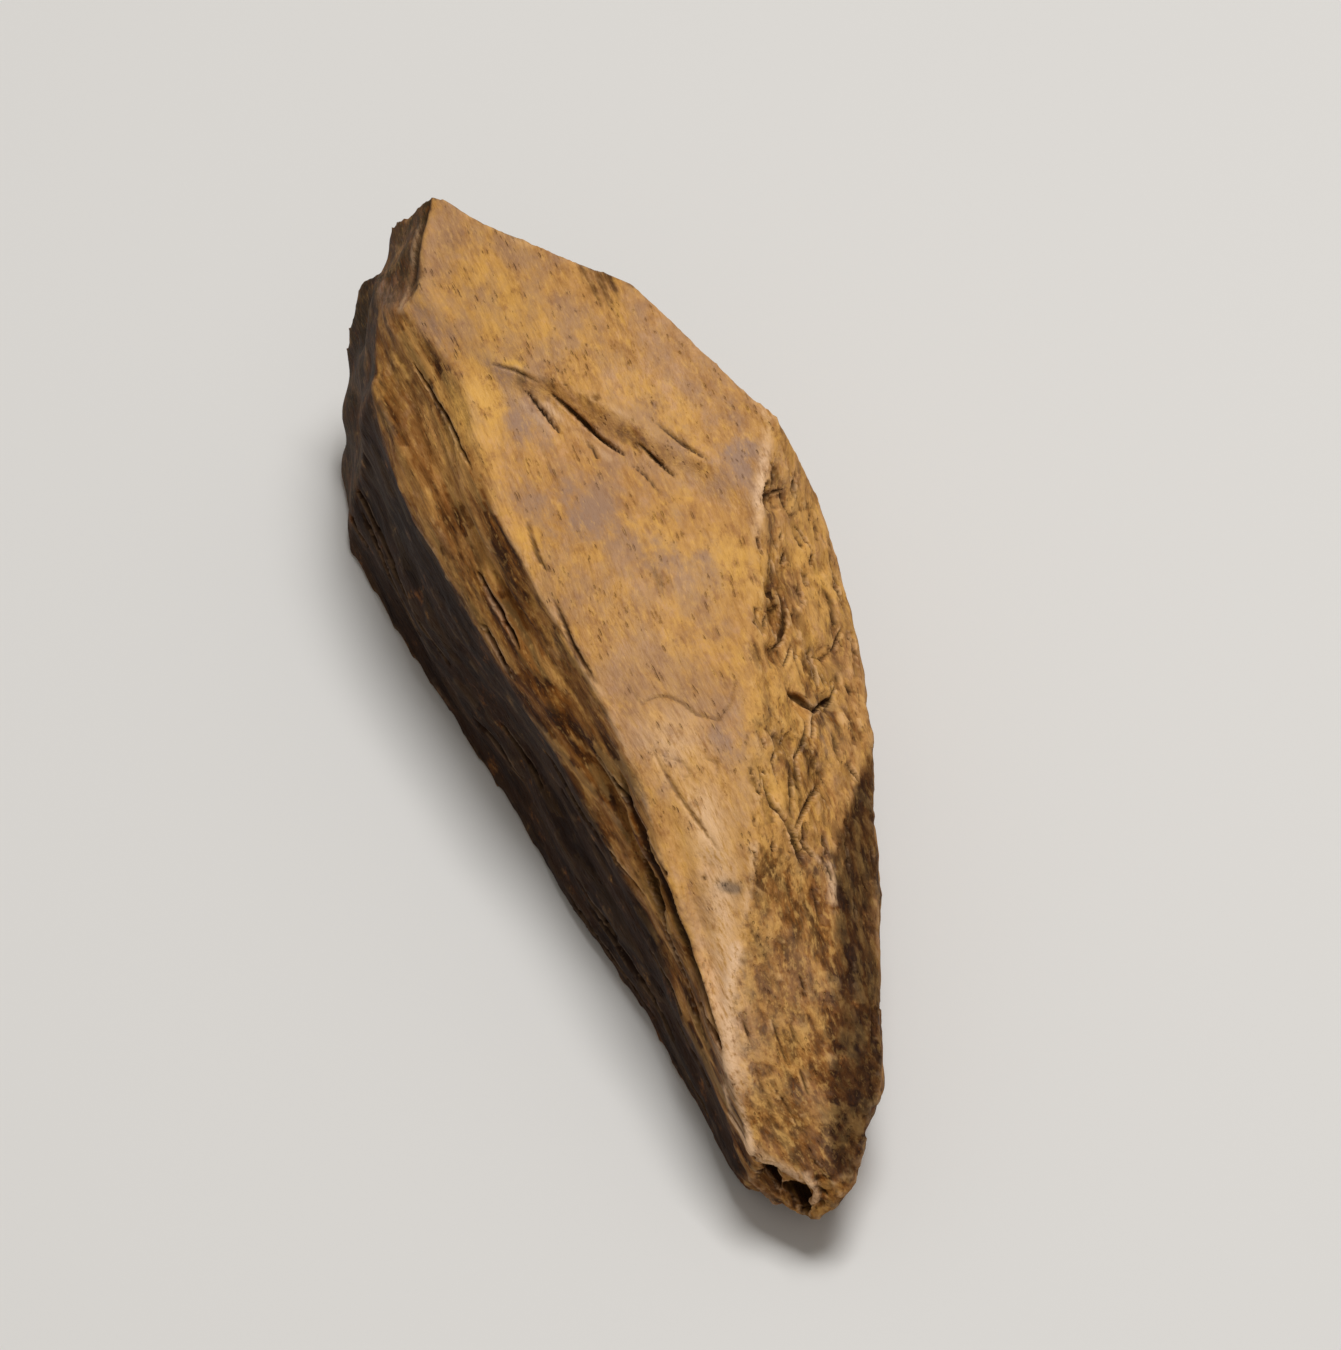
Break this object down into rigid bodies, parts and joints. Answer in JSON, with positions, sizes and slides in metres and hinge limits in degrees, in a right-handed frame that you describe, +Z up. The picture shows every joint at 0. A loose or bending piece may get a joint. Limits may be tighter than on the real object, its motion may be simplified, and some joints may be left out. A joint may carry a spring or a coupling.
{
  "type": "agarwood piece",
  "caption": "Solid chip of resinous agarwood, hewn with a knife into a thick wedge with a broad butt and a blunt broken tip, lying on its flat underside.",
  "frame": {"origin": "middle of the chip's box in plan, on the surface that it lies on", "axes": "+X along the grain from the broad butt to the tip, +Y across it towards the side that swells out, +Z up"},
  "size_m": [0.0796, 0.027, 0.0252],
  "materials": {
    "agarwood": "knife-cut, faintly waxy"
  },
  "bodies": {
    "root": {"agarwood_piece": "agarwood"}
  },
  "joints": []
}
